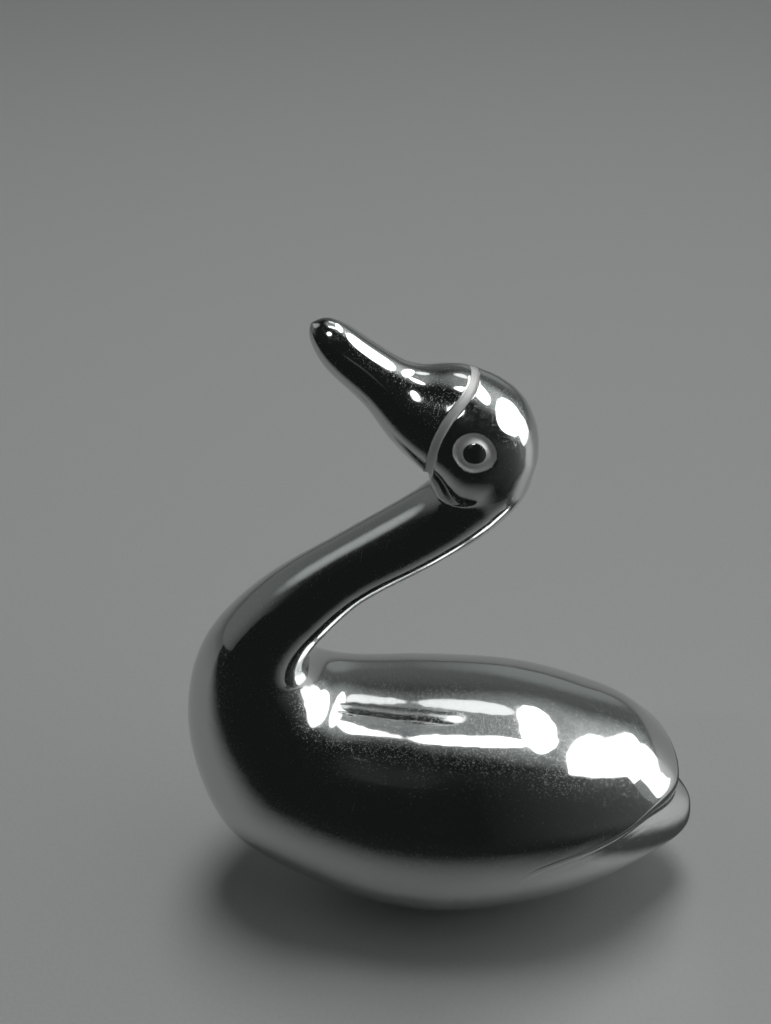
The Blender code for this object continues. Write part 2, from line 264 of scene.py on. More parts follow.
def smooth_curve(places, values, wanted):
    """A natural cubic spline through values at rising places, read at the wanted places."""
    places = np.asarray(places, float)
    values = np.asarray(values, float)
    wanted = np.asarray(wanted, float)
    count = len(places)
    gaps = np.diff(places)
    slopes = np.diff(values, axis=0) / gaps.reshape((-1,) + (1,) * (values.ndim - 1))
    matrix = np.eye(count)
    right = np.zeros_like(values)
    for row in range(1, count - 1):
        matrix[row, row - 1] = gaps[row - 1]
        matrix[row, row] = 2 * (gaps[row - 1] + gaps[row])
        matrix[row, row + 1] = gaps[row]
        right[row] = 6 * (slopes[row] - slopes[row - 1])
    bends = np.linalg.solve(matrix, right.reshape(count, -1)).reshape(values.shape)
    span = np.clip(np.searchsorted(places, wanted, side="right") - 1, 0, count - 2)
    shape = wanted.shape + (1,) * (values.ndim - 1)
    width = gaps[span].reshape(shape)
    after = (wanted - places[span]).reshape(shape)
    before = width - after
    return (
        (bends[span] * before**3 + bends[span + 1] * after**3) / (6 * width)
        + (values[span] / width - bends[span] * width / 6) * before
        + (values[span + 1] / width - bends[span + 1] * width / 6) * after
    )


def along(rows):
    """Distance along the rows of a table, from its first row."""
    rows = np.asarray(rows, float).reshape(len(rows), -1)
    steps = np.linalg.norm(np.diff(rows, axis=0), axis=1)
    return np.concatenate([[0.0], np.cumsum(steps)])


def dense(table, first_columns):
    """The table followed closely, so that a value can be read between its rows."""
    rows = np.array(table, float)
    places = along(rows[:, :first_columns])
    return smooth_curve(places, rows, np.linspace(0, places[-1], TABLE_STEPS))


def sections_at(table, x):
    """Top z, bottom z, half width and the widest place's drop at each x."""
    fine = dense(table, 4)
    return [np.interp(x, fine[:, 0], fine[:, column]) for column in range(1, 5)]


def upright_points(table, x, angle):
    """Points of the body's upright sections. The angle is from straight up, towards -Y."""
    top, bottom, half_width, drop = sections_at(table, x)
    middle = (top + bottom) / 2
    half_height = (top - bottom) / 2
    y = -half_width * np.sin(angle)
    z = middle + half_height * np.cos(angle) - drop * np.sin(angle) ** 2
    return np.stack([x, y, z], -1)


def half_angles(columns):
    """Places from 0 to 1 along half a ring, from its top to its bottom."""
    return np.linspace(0, 1, columns // 2 + 1)


def wing_edge_places(columns):
    """x and angle of the wing's edge for each column of the near half."""
    table = np.radians(np.array(WING_EDGE)) * [180 / math.pi, 1]
    spread = table * [1.0, EDGE_TURN_WEIGHT]
    places = along(spread)
    wanted = half_angles(columns) * places[-1]
    found = smooth_curve(places, table, wanted)
    found[:, 1] = np.clip(found[:, 1], 0, math.pi)
    found[0, 1] = 0
    found[-1, 1] = math.pi
    return found[:, 0], found[:, 1]


def beside_edge(x, angle, offset):
    """The edge's places moved by an offset square to it, to the tail's side when positive."""
    run = np.gradient(x)
    turn = np.gradient(angle) * FLANK_RADIUS
    length = np.hypot(run, turn)
    moved_x = x + offset * turn / length
    moved_angle = angle - offset * run / length / FLANK_RADIUS
    moved_angle[0] = 0
    moved_angle[-1] = math.pi
    return moved_x, moved_angle


def whole_ring(half):
    """The near half of a ring with its mirrored far half, each point once."""
    far = half[-2:0:-1] * [1, -1, 1]
    return np.concatenate([half, far])


def edge_fade(x):
    share = np.clip((x - EDGE_FADE_ENDS) / (EDGE_FULL_FROM - EDGE_FADE_ENDS), 0, 1)
    return share * share * (3 - 2 * share)


def rib_ring(rib, columns):
    """A plane ring between an upper and a lower point, with its widest place between them."""
    upper = np.array([rib[0], 0, rib[1]])
    lower = np.array([rib[2], 0, rib[3]])
    half_width, share = rib[4:6]
    angle = half_angles(columns) * math.pi
    height = np.linalg.norm(upper - lower)
    up = (upper - lower) / height
    middle = upper - up * height * share
    rise = np.where(np.cos(angle) > 0, height * share, height * (1 - share)) * np.cos(angle)
    side = -half_width * np.sin(angle)
    points = middle + rise[:, None] * up
    points[:, 1] = side
    return whole_ring(points)


def between(rings, gap):
    """More rings between the given ones, on smooth curves, about a gap apart."""
    rings = np.array(rings)
    spread = np.linalg.norm(np.diff(rings, axis=0), axis=2).mean(axis=1)
    places = np.concatenate([[0.0], np.cumsum(spread)])
    wanted = np.linspace(0, places[-1], max(2, round(places[-1] / gap)) + 1)
    return list(smooth_curve(places, rings, wanted))


def head_points(place, angle):
    """Points of the head at places along its middle line and angles round it, 0 on top, towards -Y."""
    rows = np.array(HEAD_RIBS)
    places = along(rows)
    x, z, above, below, half_width = np.moveaxis(smooth_curve(places, rows, place), -1, 0)
    ahead = smooth_curve(places, rows, place + HEAD_STEP)[..., :2]
    behind = smooth_curve(places, rows, place - HEAD_STEP)[..., :2]
    run = (ahead - behind) / np.linalg.norm(ahead - behind, axis=-1)[..., None]
    rise = np.cos(angle) * np.where(np.cos(angle) > 0, above, below)
    side = -np.sin(angle) * half_width
    return np.stack([x - run[..., 1] * rise, side, z + run[..., 0] * rise], -1)


def head_directions(place, angle):
    """How far a point of the head moves for one unit of place, and for one radian."""
    lengthwise = head_points(place + HEAD_STEP, angle) - head_points(place - HEAD_STEP, angle)
    across = head_points(place, angle + HEAD_STEP) - head_points(place, angle - HEAD_STEP)
    return lengthwise / (2 * HEAD_STEP), across / (2 * HEAD_STEP)


def head_outward(place, angle):
    """The direction square to the head's surface."""
    lengthwise, across = head_directions(place, angle)
    outward = np.cross(across, lengthwise)
    return outward / np.linalg.norm(outward, axis=-1)[..., None]


def step_ring(x, angle, offset, sunk):
    """A ring along the wing's edge, sunk from the wing's surface to the tail's by a share."""
    at_x, at_angle = beside_edge(x, angle, offset)
    wing = upright_points(BODY_SECTIONS, np.minimum(at_x, WING_LAST_X), at_angle)
    tail = upright_points(TAIL_SECTIONS, at_x, at_angle)
    return whole_ring(wing * (1 - sunk) + tail * sunk)


def tail_rings(columns):
    """Rings of the tail from its tip to the crevice under the wing's edge."""
    edge_x, edge_angle = wing_edge_places(columns)
    near_x, near_angle = beside_edge(edge_x, edge_angle, TAIL_RINGS_END)
    even = half_angles(columns) * math.pi
    rings = []
    for share in np.linspace(0, 1, TAIL_STEPS):
        spread = share**TAIL_SPREAD_POWER
        turn = share**TAIL_TURN_POWER
        x = TAIL_SECTIONS[-1][0] * (1 - spread) + near_x * spread
        angle = even * (1 - turn) + near_angle * turn
        rings.append(whole_ring(upright_points(TAIL_SECTIONS, x, angle)))
    return rings


def wing_rings(columns):
    """Rings from the wing's edge forward to the upright middle of the body."""
    edge_x, edge_angle = wing_edge_places(columns)
    start_x, start_angle = beside_edge(edge_x, edge_angle, WING_RINGS_START)
    even = half_angles(columns) * math.pi
    middle_x = FRONT_RIBS[0][0]
    rings = []
    for share in np.arange(WING_STEPS) / WING_STEPS:
        x = start_x * (1 - share) + middle_x * share
        angle = start_angle * (1 - share) + even * share
        rings.append(whole_ring(upright_points(BODY_SECTIONS, np.minimum(x, WING_LAST_X), angle)))
    return rings


def body_rings(columns, gap):
    """All rings of the body and neck, from the tail's tip to the end inside the head."""
    edge_x, edge_angle = wing_edge_places(columns)
    fade = edge_fade(edge_x)
    rings = between(tail_rings(columns), gap)
    for full, faded, sunk in EDGE_PROFILE:
        rings.append(step_ring(edge_x, edge_angle, full * fade + faded * (1 - fade), sunk))
    front = [rib_ring(rib, columns) for rib in FRONT_RIBS]
    rings.extend(between(wing_rings(columns) + front, gap))
    return rings


def graded(gaps):
    """Places whose spacing follows a table of place and gap."""
    table = np.array(gaps)
    fine = np.linspace(table[0, 0], table[-1, 0], GRADING_STEPS)
    density = 1 / np.interp(fine, table[:, 0], table[:, 1])
    count = np.concatenate([[0.0], np.cumsum((density[1:] + density[:-1]) / 2 * np.diff(fine))])
    return np.interp(np.linspace(0, count[-1], round(count[-1]) + 1), count, fine)


def head_scale(place, angle):
    """Units of surface for one unit of place, and for one radian, at a point of the head."""
    return [np.linalg.norm(way, axis=-1) for way in head_directions(place, angle)]


def groove(gap, width, depth, flatness):
    """Depth of a groove at a distance from its middle, and how far inside it that is."""
    share = gap / (width / 2)
    inside = np.clip((SATIN_ENDS - share) / SATIN_FADES, 0, 1)
    return depth * np.clip(1 - share**flatness, 0, 1), inside * inside * (3 - 2 * inside)


def engraving(place, angle, sizes, unit):
    """Depth of the crease and the eye rings at each point of the head, and how far inside them it is."""
    turned = np.abs(np.arctan2(np.sin(angle), np.cos(angle)))
    table = np.array(CREASE)
    degrees, line = np.radians(table[:, 0]), table[:, 1]
    ahead = smooth_curve(degrees, line, turned + HEAD_STEP)
    behind = smooth_curve(degrees, line, turned - HEAD_STEP)
    slope = (ahead - behind) / (2 * HEAD_STEP)
    along_place, along_angle = head_scale(place, angle)
    lean = slope * along_place / along_angle
    gap = np.abs(place - smooth_curve(degrees, line, turned)) * along_place / np.hypot(1, lean)
    wide, deep = sizes.crease_width / unit, sizes.crease_depth / unit
    crease_depth, in_crease = groove(gap, wide, deep, CREASE_FLATNESS)
    eye = np.array(EYE_PLACE), np.array(math.radians(EYE_ANGLE))
    eye_place_scale, eye_angle_scale = head_scale(*eye)
    from_eye = np.hypot((place - eye[0]) * eye_place_scale, (turned - eye[1]) * eye_angle_scale)
    width = sizes.eye_ring_width / unit
    radius = (sizes.eye_ring_diameter / unit - width) / 2
    ring_depth = sizes.eye_ring_depth / unit
    eye_depth, in_eye = groove(np.abs(from_eye - radius), width, ring_depth, EYE_RING_FLATNESS)
    boss = np.clip(1 - (from_eye / (radius - width / 2)) ** 2, 0, 1) * sizes.eye_boss_height / unit
    return crease_depth + eye_depth - boss, np.maximum(in_crease, in_eye)


def head_grid(sizes, unit):
    """Rings of the head and bill with the crease and the eyes sunk into them, and each point's engraving."""
    half = np.radians(graded(HEAD_COLUMN_GAPS))
    angle = np.concatenate([half, (2 * math.pi - half)[-2:0:-1]])
    places = graded(HEAD_RING_GAPS) * along(HEAD_RIBS)[-1] / HEAD_RING_GAPS[-1][0]
    place, angle = np.meshgrid(places[1:-1], angle, indexing="ij")
    depth, inside = engraving(place, angle, sizes, unit)
    points = head_points(place, angle) - head_outward(place, angle) * depth[..., None]
    return points, inside


def lofted(rings, ends):
    """A closed surface through the rings, with a point at each end, as a bmesh."""
    bm = bmesh.new()
    loops = []
    for ring in rings:
        made = bmesh.ops.create_circle(bm, cap_ends=False, radius=1, segments=len(ring))
        for vert, point in zip(made["verts"], ring):
            vert.co = Vector(point)
        loops.append(list({edge for vert in made["verts"] for edge in vert.link_edges}))
    for first, second in zip(loops, loops[1:]):
        bmesh.ops.bridge_loops(bm, edges=first + second)
    for loop, end in zip((loops[0], loops[-1]), ends):
        cap = bmesh.ops.contextual_create(bm, geom=loop)["faces"]
        poked = bmesh.ops.poke(bm, faces=cap)
        poked["verts"][0].co = Vector(end)
    bmesh.ops.recalc_face_normals(bm, faces=bm.faces)
    return bm


def object_of(bm, name):
    mesh = bpy.data.meshes.new(name)
    bm.to_mesh(mesh)
    thing = bpy.data.objects.new(name, mesh)
    bpy.context.scene.collection.objects.link(thing)
    return thing


def joined(body, head):
    """One bmesh of both, with their overlap taken out."""
    body_thing, head_thing = object_of(body, "body loft"), object_of(head, "head loft")
    modifier = body_thing.modifiers.new("Join head", "BOOLEAN")
    modifier.operation = "UNION"
    modifier.solver = "MANIFOLD"
    modifier.object = head_thing
    graph = bpy.context.evaluated_depsgraph_get()
    mesh = bpy.data.meshes.new_from_object(body_thing.evaluated_get(graph))
    bm = bmesh.new()
    bm.from_mesh(mesh)
    for thing in (body_thing, head_thing):
        old = thing.data
        bpy.data.objects.remove(thing)
        bpy.data.meshes.remove(old)
    bpy.data.meshes.remove(mesh)
    return bm


def mark_engraving(bm, points, inside, unit):
    """Gives each point of the head its share of engraving, for the material."""
    layer = bm.verts.layers.float.new("engraved")
    deep = np.nonzero(inside.ravel() > 0)[0]
    tree = KDTree(len(deep))
    flat, shares = points.reshape(-1, 3), inside.ravel()
    for index in deep:
        tree.insert(flat[index] * unit, index)
    tree.balance()
    for vert in bm.verts:
        spot, index, gap = tree.find(vert.co)
        if gap < SAME_POINT * unit:
            vert[layer] = shares[index]


def fill_corner(bm, trees, reaches, ends):
    """Rounds the corner where two surfaces meet. The reach goes from one to the other between two x."""
    bm.normal_update()
    moves = []
    for vert in bm.verts:
        part = min(1.0, max(0.0, (vert.co.x - ends[0]) / (ends[1] - ends[0])))
        reach = reaches[0] + (reaches[1] - reaches[0]) * part * part * (3 - 2 * part)
        found = [tree.find_nearest(vert.co, reach) for tree in trees]
        if any(spot[0] is None for spot in found):
            continue
        near, far = sorted(found, key=lambda spot: spot[3])
        share = 1 - (far[3] - near[3]) / reach
        other = (vert.co - far[0]).normalized() if far[3] > reach * ON_SURFACE else vert.normal
        way = vert.normal * (1 - share / 2) + other * (share / 2)
        moves.append((vert, way.normalized() * (reach * share * share / 4)))
    for vert, move in moves:
        vert.co += move
    return [vert for vert, move in moves]


def stand_flat(bm):
    """Cuts the belly off at the ground and closes it with one flat face."""
    geometry = bm.verts[:] + bm.edges[:] + bm.faces[:]
    bmesh.ops.bisect_plane(bm, geom=geometry, plane_co=(0, 0, 0), plane_no=(0, 0, -1), clear_outer=True)
    rim = [edge for edge in bm.edges if edge.is_boundary]
    made = bmesh.ops.contextual_create(bm, geom=rim)["faces"]
    for edge in rim:
        edge.smooth = False
    for face in made:
        face.smooth = False
        face.material_index = 1
        if face.normal.z > 0:
            face.normal_flip()


def figurine_mesh(sizes, unit):
    """The swan's whole surface as a mesh, in metres."""
    rings = np.array(body_rings(sizes.body_columns, sizes.ring_gap / unit)) * unit
    tail_end, neck_end = TAIL_SECTIONS[-1], FRONT_RIBS[-1]
    body_ends = (
        np.array((tail_end[0] + TAIL_END_OUT, 0, tail_end[1])) * unit,
        np.array(((neck_end[0] + neck_end[2]) / 2, 0, (neck_end[1] + neck_end[3]) / 2 + NECK_END_UP)) * unit,
    )
    body = lofted(rings, body_ends)
    points, inside = head_grid(sizes, unit)
    head_ends = [np.array((rib[0], 0, rib[1])) * unit for rib in (HEAD_RIBS[0], HEAD_RIBS[-1])]
    head = lofted(points * unit, head_ends)
    trees = [BVHTree.FromBMesh(body), BVHTree.FromBMesh(head)]
    bm = joined(body, head)
    bmesh.ops.remove_doubles(bm, verts=bm.verts, dist=WELD_GAP * unit)
    mark_engraving(bm, points, inside, unit)
    reaches = sizes.fold_reach, sizes.hollow_reach
    moved = fill_corner(bm, trees, reaches, (FOLD_ENDS * unit, HOLLOW_STARTS * unit))
    moved = [vert for vert in moved if vert.is_valid]
    ways = {"use_axis_x": True, "use_axis_y": True, "use_axis_z": True}
    for turn in range(SMOOTHINGS):
        bmesh.ops.smooth_vert(bm, verts=moved, factor=SMOOTHING_SHARE, **ways)
    for face in bm.faces:
        face.smooth = True
    stand_flat(bm)
    mesh = bpy.data.meshes.new("swan_figurine")
    bm.to_mesh(mesh)
    for used in (bm, body, head):
        used.free()
    return mesh


# Materials

# How far the engraved lines are from bare metal
ENGRAVED_DULLNESS = 0.7

# Roughness of the polish where it is clean and where smudged, what haze and a scratch add to it, and the
# roughness of the engraved lines' satin
CLEAN_ROUGHNESS = 0.05
SMUDGED_ROUGHNESS = 0.10
HAZE_ROUGHNESS = 0.30
SCRATCH_ROUGHNESS = 0.22
SATIN_ROUGHNESS = 0.5

# Layers of the polish: name, group and the group's values, in metres where they are lengths
POLISH_LAYERS = (
    ("scratches", "scratches", {"Length": 0.02, "Width": 0.00006, "Sparseness": 0.79}),
    ("smudges", "smudges", {"Size": 0.011}),
    ("dust", "dust", {"Spacing": 0.0018, "Speck": 0.00014, "Amount": 0.05}),
    ("waves", "grain", {"Size": 0.009}),
    ("grain", "grain", {"Size": 0.00012}),
    ("haze", "grain", {"Size": 0.00022}),
)

# The same for the ground flat and for the floor
GROUND_LAYERS = (
    ("scratches", "scratches", {"Length": 0.012, "Width": 0.00012, "Sparseness": 0.6}),
    ("grain", "grain", {"Size": 0.0002}),
)
FLOOR_LAYERS = (("grain", "grain", {"Size": 0.0006}),)

# How each of the three sets of scratches is turned, in radians, and how soft a scratch's edge is
SCRATCH_TURNS = ((0.2, 0.5, 0.7), (0.9, -0.6, 2.1), (-0.5, 1.1, -0.9))
SCRATCH_SOFTNESS = 0.05

# Roughness of the floor, and how far its grain lightens and darkens it
FLOOR_ROUGHNESS = 0.45
FLOOR_MOTTLE = 0.07


def put(tree, kind, place, inputs=None, **settings):
    """A node at a place of the graph, with its settings and unlinked inputs."""
    node = tree.nodes.new(kind)
    node.location = place
    for name, value in settings.items():
        setattr(node, name, value)
    for name, value in (inputs or {}).items():
        node.inputs[name].default_value = value
    return node


def maths(tree, operation, place, *values, **settings):
    """The output of a Math node fed with numbers and outputs."""
    node = put(tree, "ShaderNodeMath", place, operation=operation, **settings)
    for socket, value in zip(node.inputs, values):
        if isinstance(value, bpy.types.NodeSocket):
            tree.links.new(value, socket)
        else:
            socket.default_value = value
    return node.outputs[0]


def ranged(tree, value, place, spans, **settings):
    """The output of a Map Range node."""
    node = put(tree, "ShaderNodeMapRange", place, spans, **settings)
    tree.links.new(value, node.inputs["Value"])
    return node.outputs["Result"]


def mixed(tree, kind, place, factor, first, second):
    """The output of a Mix node between two numbers, colours or outputs."""
    node = put(tree, "ShaderNodeMix", place, data_type=kind)
    tree.links.new(factor, node.inputs["Factor"])
    for name, value in (("A", first), ("B", second)):
        if isinstance(value, bpy.types.NodeSocket):
            tree.links.new(value, node.inputs[name])
        else:
            node.inputs[name].default_value = value
    return node.outputs["Result"]


def bumped(tree, height, place, strength, distance, normal=None, **settings):
    """The output of a Bump node, laid over another one's if that is given."""
    node = put(tree, "ShaderNodeBump", place, {"Strength": strength, "Distance": distance}, **settings)
    tree.links.new(height, node.inputs["Height"])
    if normal is not None:
        tree.links.new(normal, node.inputs["Normal"])
    return node.outputs[0]


def new_group(name, inputs, outputs):
    """An empty shader group with named inputs and outputs, and its end nodes."""
    tree = bpy.data.node_groups.new(name, "ShaderNodeTree")
    for label, kind, value in inputs:
        made = tree.interface.new_socket(name=label, in_out="INPUT", socket_type=kind)
        if value is not None:
            made.default_value = value
    for label, kind in outputs:
        tree.interface.new_socket(name=label, in_out="OUTPUT", socket_type=kind)
    return tree, put(tree, "NodeGroupInput", (-900, 0)), put(tree, "NodeGroupOutput", (900, 0))


def placed_group(tree, group, place, inputs):
    """A group node in a material, with the values of its unlinked inputs."""
    node = put(tree, "ShaderNodeGroup", place, node_tree=group)
    for name, value in inputs.items():
        node.inputs[name].default_value = value
    return node


def placed_layers(tree, groups, layers):
    """The outputs of a material's layers, by name, over the object's own coordinates."""
    at = put(tree, "ShaderNodeTexCoord", (-1700, 0)).outputs["Object"]
    found = {}
    for row, (name, group, values) in enumerate(layers):
        node = placed_group(tree, groups[group], (-1400, 300 - 250 * row), values)
        tree.links.new(at, node.inputs["Vector"])
        found[name] = node.outputs[0]
    return found


def new_material(name):
    """A material, its graph and its shader."""
    material = bpy.data.materials.new(name)
    material.use_nodes = True
    return material, material.node_tree, material.node_tree.nodes["Principled BSDF"]


def hairline_scratches():
    """Thin straight scratches in three directions. Sizes are in metres."""
    tree, start, end = new_group(
        "Hairline scratches",
        (
            ("Vector", "NodeSocketVector", None),
            ("Length", "NodeSocketFloat", 0.006),
            ("Width", "NodeSocketFloat", 0.00006),
            ("Sparseness", "NodeSocketFloat", 0.74),
        ),
        (("Scratches", "NodeSocketFloat"),),
    )
    link = tree.links.new
    by_length = maths(tree, "DIVIDE", (-700, -200), 1.0, start.outputs["Length"])
    by_width = maths(tree, "DIVIDE", (-700, -400), 1.0, start.outputs["Width"])
    scale = put(tree, "ShaderNodeCombineXYZ", (-500, -300))
    for axis, value in (("X", by_length), ("Y", by_width), ("Z", by_width)):
        link(value, scale.inputs[axis])
    upper = maths(tree, "ADD", (-500, -500), start.outputs["Sparseness"], SCRATCH_SOFTNESS)
    deepest = 0.0
    for row, turn in enumerate(SCRATCH_TURNS):
        height = 300 - 300 * row
        rotate = put(tree, "ShaderNodeVectorRotate", (-500, height), rotation_type="EULER_XYZ")
        rotate.inputs["Rotation"].default_value = turn
        stretch = put(tree, "ShaderNodeVectorMath", (-300, height), operation="MULTIPLY")
        noise = put(tree, "ShaderNodeTexNoise", (-100, height), {"Scale": 1.0, "Detail": 0.0})
        peaks = put(tree, "ShaderNodeMapRange", (100, height))
        link(start.outputs["Vector"], rotate.inputs["Vector"])
        link(rotate.outputs[0], stretch.inputs[0])
        link(scale.outputs[0], stretch.inputs[1])
        link(stretch.outputs[0], noise.inputs["Vector"])
        link(noise.outputs["Fac"], peaks.inputs["Value"])
        link(start.outputs["Sparseness"], peaks.inputs["From Min"])
        link(upper, peaks.inputs["From Max"])
        deepest = maths(tree, "MAXIMUM", (300, height), deepest, peaks.outputs[0])
    link(deepest, end.inputs["Scratches"])
    return tree


def dust_specks():
    """Sparse round specks of dust. Sizes are in metres."""
    tree, start, end = new_group(
        "Dust specks",
        (
            ("Vector", "NodeSocketVector", None),
            ("Spacing", "NodeSocketFloat", 0.002),
            ("Speck", "NodeSocketFloat", 0.0001),
            ("Amount", "NodeSocketFloat", 0.3),
        ),
        (("Dust", "NodeSocketFloat"),),
    )
    link = tree.links.new
    cells = put(tree, "ShaderNodeTexVoronoi", (-500, 100))
    link(start.outputs["Vector"], cells.inputs["Vector"])
    link(maths(tree, "DIVIDE", (-700, -200), 1.0, start.outputs["Spacing"]), cells.inputs["Scale"])
    colour = put(tree, "ShaderNodeSeparateColor", (-300, -100))
    link(cells.outputs["Color"], colour.inputs[0])
    chosen = maths(tree, "LESS_THAN", (-100, -100), colour.outputs[0], start.outputs["Amount"])
    size = maths(tree, "DIVIDE", (-300, -300), start.outputs["Speck"], start.outputs["Spacing"])
    random_size = maths(tree, "MULTIPLY", (-100, -300), size, colour.outputs[1])
    near = maths(tree, "LESS_THAN", (100, 100), cells.outputs["Distance"], random_size)
    link(maths(tree, "MULTIPLY", (300, 0), near, chosen), end.inputs["Dust"])
    return tree


def noise_group(name, size, output, noise):
    """A group with one noise of a size in metres, and the noise's output in it."""
    inputs = (("Vector", "NodeSocketVector", None), ("Size", "NodeSocketFloat", size))
    tree, start, end = new_group(name, inputs, ((output, "NodeSocketFloat"),))
    cloud = put(tree, "ShaderNodeTexNoise", (-500, 0), noise)
    scale = maths(tree, "DIVIDE", (-700, -200), 1.0, start.outputs["Size"])
    tree.links.new(start.outputs["Vector"], cloud.inputs["Vector"])
    tree.links.new(scale, cloud.inputs["Scale"])
    return tree, cloud.outputs["Fac"], end.inputs[output]


def cloudy_smudges():
    """Soft patches, such as hand marks on polished metal."""
    noise = {"Detail": 4.0, "Roughness": 0.55, "Distortion": 0.4}
    tree, found, output = noise_group("Cloudy smudges", 0.01, "Smudges", noise)
    tree.links.new(ranged(tree, found, (-300, 0), {"From Min": 0.42, "From Max": 0.72}), output)
    return tree


def fine_grain():
    """An even grain, for engraved, ground or matt surfaces."""
    tree, found, output = noise_group("Fine grain", 0.0001, "Grain", {"Detail": 3.0, "Roughness": 0.7})
    tree.links.new(found, output)
    return tree


def polished_metal(colours, groups):
    """Mirror polish with hairlines, smudges, dust and soft hand-worked waves, and satin engraved lines."""
    material, tree, shader = new_material("polished metal")
    link = tree.links.new
    layers = placed_layers(tree, groups, POLISH_LAYERS)
    engraved = put(tree, "ShaderNodeAttribute", (-1400, 600), attribute_name="engraved").outputs["Fac"]
    bare = mixed(tree, "RGBA", (-600, 400), engraved, (*colours.metal, 1), (*colours.engraved, 1))
    dusty = mixed(tree, "RGBA", (-400, 400), layers["dust"], bare, (*colours.dust, 1))
    link(dusty, shader.inputs["Base Color"])
    dull = maths(tree, "MULTIPLY", (-800, 300), engraved, ENGRAVED_DULLNESS)
    dullest = maths(tree, "MAXIMUM", (-600, 250), dull, layers["dust"])
    link(maths(tree, "SUBTRACT", (-400, 200), 1.0, dullest), shader.inputs["Metallic"])
    smudge_span = {"To Min": CLEAN_ROUGHNESS, "To Max": SMUDGED_ROUGHNESS}
    smudged = ranged(tree, layers["smudges"], (-1100, -100), smudge_span)
    haze_span = {"From Min": 0.59, "From Max": 0.78, "To Max": HAZE_ROUGHNESS}
    hazed = maths(tree, "ADD", (-900, -100), smudged, ranged(tree, layers["haze"], (-1100, -900), haze_span))
    scratched = maths(tree, "MULTIPLY", (-900, 200), layers["scratches"], SCRATCH_ROUGHNESS)
    rough = maths(tree, "ADD", (-700, 0), hazed, scratched)
    satin = mixed(tree, "FLOAT", (-500, 0), engraved, rough, SATIN_ROUGHNESS)
    link(maths(tree, "ADD", (-300, 0), satin, layers["dust"], use_clamp=True), shader.inputs["Roughness"])
    wavy = bumped(tree, layers["waves"], (-900, -500), 1.0, 0.00005)
    lined = bumped(tree, layers["scratches"], (-700, -400), 0.35, 0.000012, wavy, invert=True)
    satin_grain = maths(tree, "MULTIPLY", (-900, -800), layers["grain"], engraved)
    link(bumped(tree, satin_grain, (-500, -400), 0.8, 0.00006, lined), shader.inputs["Normal"])
    return material


def ground_metal(colours, groups):
    """The flat that the bird stands on: ground smooth, dull, and scuffed by the shelf."""
    material, tree, shader = new_material("ground metal")
    shader.inputs["Base Color"].default_value = (*colours.engraved, 1)
    shader.inputs["Metallic"].default_value = 1.0
    layers = placed_layers(tree, groups, GROUND_LAYERS)
    rough = ranged(tree, layers["scratches"], (-600, 100), {"To Min": 0.38, "To Max": 0.6})
    tree.links.new(rough, shader.inputs["Roughness"])
    lined = bumped(tree, layers["scratches"], (-600, -200), 0.6, 0.00005)
    tree.links.new(bumped(tree, layers["grain"], (-400, -200), 0.5, 0.00004, lined), shader.inputs["Normal"])
    return material


def pale_board(colours, groups):
    """The studio's floor: matt pale board with a faint tooth."""
    material, tree, shader = new_material("pale board")
    shader.inputs["Roughness"].default_value = FLOOR_ROUGHNESS
    grain = placed_layers(tree, groups, FLOOR_LAYERS)["grain"]
    darker, lighter = [
        (*[min(1.0, value * part) for value in colours.floor], 1)
        for part in (1 - FLOOR_MOTTLE, 1 + FLOOR_MOTTLE)
    ]
    tree.links.new(mixed(tree, "RGBA", (-500, 200), grain, darker, lighter), shader.inputs["Base Color"])
    tree.links.new(bumped(tree, grain, (-500, -200), 0.4, 0.0001), shader.inputs["Normal"])
    return material


def make_groups():
    return {
        "scratches": hairline_scratches(),
        "dust": dust_specks(),
        "smudges": cloudy_smudges(),
        "grain": fine_grain(),
    }


# Studio


# Soft boxes, all ellipses: name, azimuth and elevation of both ends as the figurine sees them, width
# across, all in degrees, and brightness. Azimuth 0 is on the side that the photograph doesn't show, and
# 90 is at the tail. Only the polish sees them, and the floor and the dull lines are lit by the wash.
SOFT_BOXES = (
    ("window", (97.0, 11.0), (97.0, 46.5), 58.0, 3.0),
    ("lower window", (80.0, -12.0), (93.0, 28.0), 34.0, 1.4),
    ("back overhead", (10.0, 64.0), (52.0, 64.0), 13.0, 1.0),
    ("middle overhead", (42.0, 51.0), (124.0, 53.0), 15.0, 2.6),
    ("front overhead", (116.0, 61.0), (174.0, 73.0), 11.0, 3.0),
    ("front lamp", (192.0, 31.0), (175.0, 45.0), 10.0, 3.0),
)
WASH = ("wash", (320.0, 75.0), (40.0, 75.0), 28.0, 7.0)
BOX_DISTANCE = 0.6

# Dark cards that only the polish sees, which paint dark reflections and a faint painted glow into it: name,
# middle, width and height, turn in degrees, then the axis along which the card fades in and out again with
# its four places, and the axis along which its painted glow changes, from where to where and from what to
# what. The upright one keeps the window's front end off the body with a painted dark reflection, the floor
# one is a painted dark reflection of the floor's front, and the tail one is a painted shadow under the tail,
# seen only in the polish.
FLOOR_WIDTH = 6.0
CARDS = (
    # Painted dark reflection: an upright near-black card that only the polish sees, keeping the window's
    # front end off the body
    (
        "front_dark_reflection_card",
        (-0.005, -0.055, 0.046),
        (0.29, 0.092),
        (90, 0, 0),
        ("Z", 0.001, 0.020, 0.080, 0.091),
        ("X", 0.01, 0.14, 0.012, 0.14),
    ),
    # Painted dark reflection of the floor's front: a near-black card on the floor that only the polish sees
    (
        "floor_dark_reflection_card",
        (0.0, -1.5, 0.0004),
        (FLOOR_WIDTH, 3.0),
        (0, 0, 0),
        ("Y", -4.0, -3.5, -0.065, -0.014),
        ("X", 0.05, 0.25, 0.015, 0.2),
    ),
    # Painted shadow under the tail: a near-black card on the floor that only the polish sees
    (
        "tail_painted_shadow_card",
        (0.047, -0.005, 0.0006),
        (0.03, 0.07),
        (0, 0, 0),
        ("X", 0.032, 0.041, 0.048, 0.060),
        ("X", 0.032, 0.060, 0.05, 0.10),
    ),
)

